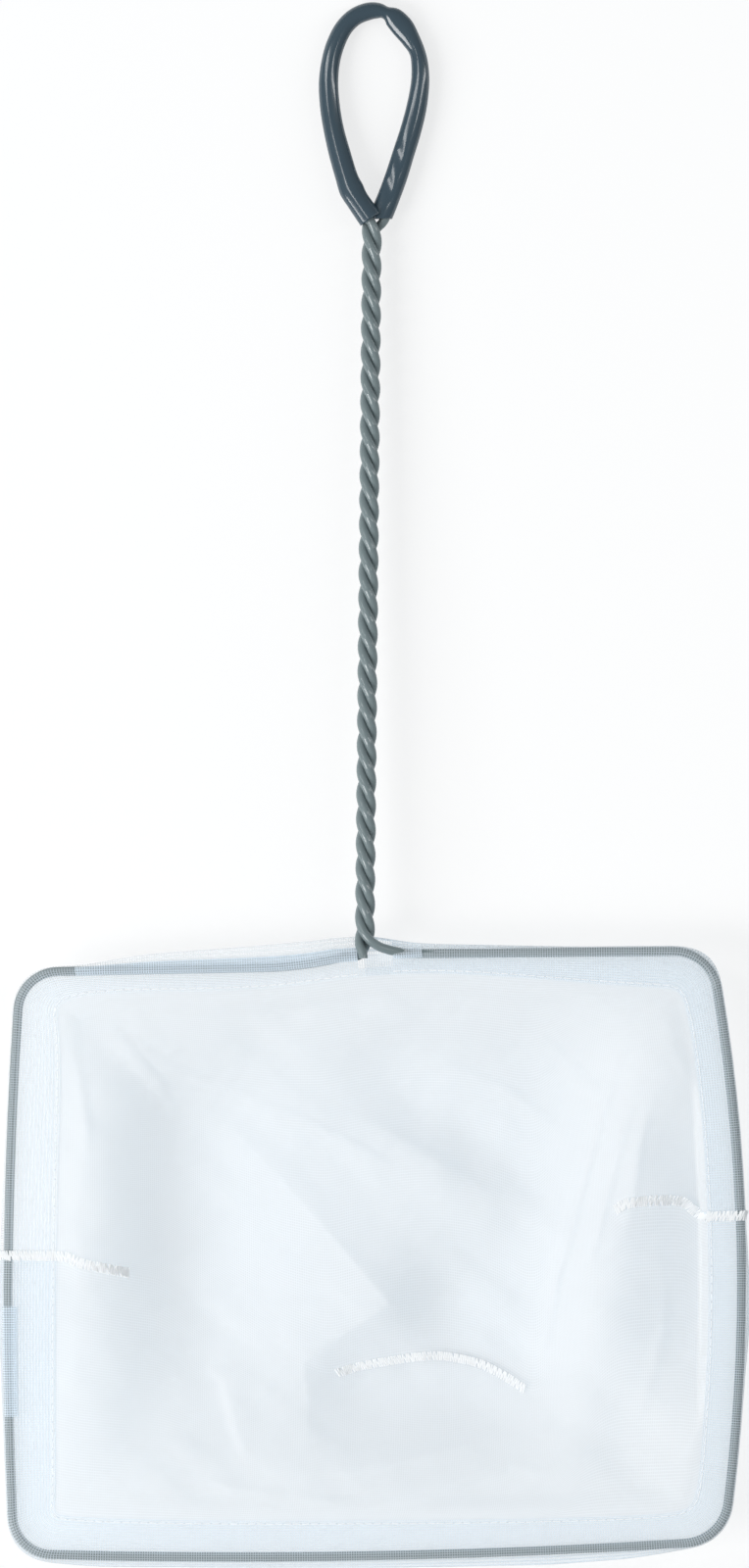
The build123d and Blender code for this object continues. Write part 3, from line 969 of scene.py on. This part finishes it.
# %% The sleeve's centre line
sleeve_line = np.array([
    # x, y, half width, half height, lift of the centre above the wire's plane
    (-0.95, 279.2, 3.25, 2.6, 1.7), (-4.5, 284.4, 3.15, 2.55, 1.1), (-6.1, 287.3, 3.35, 2.5, 0.8),
    (-7.4, 290.62, 3.04, 2.5, 0.5), (-9.25, 296.96, 2.95, 2.5, 0.2), (-10.83, 303.3, 2.77, 2.5, 0),
    (-11.89, 309.64, 2.71, 2.5, 0), (-12.29, 315.98, 2.64, 2.5, 0), (-11.75, 321.6, 2.52, 2.5, 0),
    (-10.4, 326.6, 2.5, 2.5, 0), (-8.2, 331.0, 2.45, 2.45, 0), (-5.2, 334.0, 2.42, 2.4, 0),
    (-1.6, 335.5, 2.4, 2.4, 0), (1.3, 335.7, 2.1, 2.3, 0), (3.2, 335.1, 1.75, 2.1, 0.1),
    (5.2, 333.9, 2.75, 2.0, 0.2), (7.7, 331.2, 3.05, 2.0, 0.1), (9.8, 328.1, 2.6, 2.2, 0),
    (11.6, 324.7, 2.17, 2.4, 0), (12.35, 321.0, 2.3, 2.45, 0), (12.42, 315.98, 2.5, 2.5, 0),
    (11.49, 309.64, 2.75, 2.5, 0), (9.91, 303.3, 2.88, 2.5, 0), (7.93, 296.96, 2.95, 2.5, -0.1),
    (5.94, 290.62, 3.02, 2.5, -0.2), (3.57, 284.28, 3.05, 2.55, -0.3), (1.4, 279.4, 3.2, 2.6, -0.4)])
ring_count, span_steps = 260, 24


def curve_through(points, count):
    """A smooth curve through points, evenly spaced."""
    padded = np.vstack([2 * points[0] - points[1], points, 2 * points[-1] - points[-2]])
    made = []
    for a, b, c, d in zip(padded, padded[1:], padded[2:], padded[3:]):
        for t in np.linspace(0, 1, span_steps, endpoint=False):
            square, cube = 2 * a - 5 * b + 4 * c - d, 3 * b - a - 3 * c + d
            made.append(0.5 * (2 * b + (c - a) * t + square * t**2 + cube * t**3))
    made.append(points[-1])
    return resample(made, count)


line = curve_through(sleeve_line, ring_count)
print("sleeve:", len(line), "rings")

# %% [markdown]
# The rings make the outside, and the same rings, smaller, the bore, so that the mouths are open. The last
# rings slant, as the tube is cut at an angle. Two shallow dents lie on the right leg.

# %% Sleeve
sleeve_wall = 0.85
ring_sides = 40
cut_slant, cut_from = 0.45, 0.9
dents = [
    # x, y, depth, half width, half length
    (6.6, 297.4, 0.4, 1.3, 5.0), (4.0, 288.2, 0.4, 1.3, 4.5)]
lowest_point = 0.05


def sleeve_rings(line, shrink):
    """Rings of points along the centre line, smaller by the shrink."""
    way = np.gradient(line[:, :2], axis=0)
    way /= np.linalg.norm(way, axis=1)[:, None]
    side = np.stack([way[:, 1], -way[:, 0]], axis=1)
    around = np.linspace(0, 2 * math.pi, ring_sides, endpoint=False)
    slants = np.interp(np.arange(len(line)), [cut_from * len(line), len(line)], [0, cut_slant])
    rings = []
    for (x, y, wide, tall, lift), out, ahead, slant in zip(line, side, way, slants):
        across = (wide - shrink) * np.cos(around)
        up = (tall - shrink) * np.sin(around)
        plan = np.outer(across, out + slant * ahead) + (x, y)
        rings.append(np.column_stack([plan, wire_height(y) + lift + up]))
    return np.array(rings)


outside, bore = sleeve_rings(line, 0.0), sleeve_rings(line, sleeve_wall)
centre_height = line[:, 4:5] + wire_height(line[:, 1:2])
for x, y, depth, width, length in dents:
    apart = ((outside[:, :, 0] - x) / width) ** 2 + ((outside[:, :, 1] - y) / length) ** 2
    outside[:, :, 2] -= depth * np.exp(-apart) * (outside[:, :, 2] > centre_height)
outside[:, :, 2] = np.maximum(outside[:, :, 2], lowest_point)
shell = np.concatenate([outside, bore[::-1]])
index = np.arange(shell.shape[0] * shell.shape[1]).reshape(shell.shape[:2])
index = np.pad(index, ((0, 1), (0, 1)), "wrap")
faces = np.stack([index[:-1, :-1], index[:-1, 1:], index[1:, 1:], index[1:, :-1]], axis=2).reshape(-1, 4)
sleeve_mesh = smooth_mesh("sleeve", shell.reshape(-1, 3) * mm, faces)
sleeve_mesh.materials.append(sleeve_slate)
sleeve = in_scene("sleeve", sleeve_mesh)
print("sleeve:", len(faces), "faces")

# %% [markdown]
# ## Floor and light
#
# The net lies on a white table. Enough light to make the table white would also wash out the net. So the
# camera sees the floor as part plain white and part lit surface, which keeps the shadow.

# %% Floor
floor_half = 6.0
floor_level = -0.0004
white_share = 0.7
floor_mesh = bpy.data.meshes.new("floor")
corners = [(-1, -1), (1, -1), (1, 1), (-1, 1)]
points = [(x * floor_half, y * floor_half, floor_level) for x, y in corners]
floor_mesh.from_pydata(points, [], [(0, 1, 2, 3)])
floor_white, floor_shader = finish("floor white", (1.0, 1.0, 1.0), 0.9, Specular_IOR_Level=0.0)
tree = floor_white.node_tree
by_camera = put(tree, "ShaderNodeLightPath").outputs["Is Camera Ray"]
share = math_node(tree, "MULTIPLY", by_camera, white_share)
plain_white = put(tree, "ShaderNodeEmission").outputs["Emission"]
show(tree, mixed(tree, share, floor_shader.outputs["BSDF"], plain_white))
floor_mesh.materials.append(floor_white)
floor = in_scene("floor", floor_mesh)
print("floor", 2 * floor_half, "m wide")

# %% [markdown]
# Soft light from large panels keeps the shadows faint, as in a product photograph. The key light comes from
# the left and a little from below, so that the folds show. Two narrow strips put the long highlights on
# the sleeve and the wire, and a pale blue room fills the rest.


# %% Lamps
def panel_light(name, place, aim, width, height, watts):
    """A rectangular lamp that shines at a point."""
    lamp = bpy.data.lights.new(name, "AREA")
    lamp.shape = "RECTANGLE"
    lamp.size, lamp.size_y, lamp.energy = width, height, watts
    made = in_scene(name, lamp)
    made.location = place
    made.rotation_euler = (Vector(aim) - Vector(place)).to_track_quat("-Z", "Y").to_euler()
    print(name, watts, "W")


panel_light("key", (-1.4, -0.5, 1.2), (0, 0.05, 0), 0.7, 1.3, 26.5)
panel_light("left strip", (-1.1, 0.72, 1.4), (0, 0.25, 0), 0.22, 1.3, 6)
panel_light("right strip", (1.2, 0.5, 1.0), (0, 0.2, 0), 0.12, 1.6, 5)
world = bpy.data.worlds.new("room")
bpy.context.scene.world = world
world.use_nodes = True
room = world.node_tree.nodes["Background"].inputs
room["Color"].default_value = (0.89, 0.96, 1.0, 1)
room["Strength"].default_value = 0.38
bpy.context.scene.view_settings.view_transform = "Standard"

# %% [markdown]
# ## Soft pieces on the rigid body
#
# Each soft piece stands for its CAD nodes and rides with the one rigid body. The seam in the middle of the
# bag stands for no node.

# %% Pieces
for piece, stands_for, slot in (
        (upper_net, ["upper_panel"], "net"),
        (lower_net, ["lower_panel"], "net"),
        (upper_right_cloth, ["upper_right_hem"], "net"),
        (lower_cloth, ["lower_hem"], "net"),
        (upper_left_cloth, ["upper_left_hem"], "net"),
        (upper_right_row, ["upper_right_thread"], "thread"),
        (lower_row, ["lower_thread"], "thread"),
        (upper_left_row, ["upper_left_thread"], "thread"),
        (left_seam, ["left_seam"], "thread"),
        (right_seam, ["right_seam"], "thread"),
        (middle_seam, [], "thread"),
        (sleeve, ["handle_sleeve"], "sleeve")):
    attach(piece, "root")
    if stands_for:
        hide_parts(*stands_for)
    print(piece.name, "stands for", stands_for)

# %% [markdown]
# The cloth pieces are sheets. Each is listed with the size that it was cut to, measured on the cloth as it
# is laid here, with how it is held and with what it lies on. Only the size is printed.

# %% Sheets
for piece, size, held, on in (
        (upper_net, (0.190, 0.085), "folded", ["floor"]),
        (lower_net, (0.190, 0.055), "hung", ["floor"]),
        (upper_right_cloth, (0.022, 0.150), "hung", ["hoop_jacket"]),
        (lower_cloth, (0.028, 0.320), "hung", ["hoop_jacket"]),
        (upper_left_cloth, (0.026, 0.175), "hung", ["hoop_jacket"])):
    print(piece.name, "cut", [round(s * 1000) for s in size], "mm")
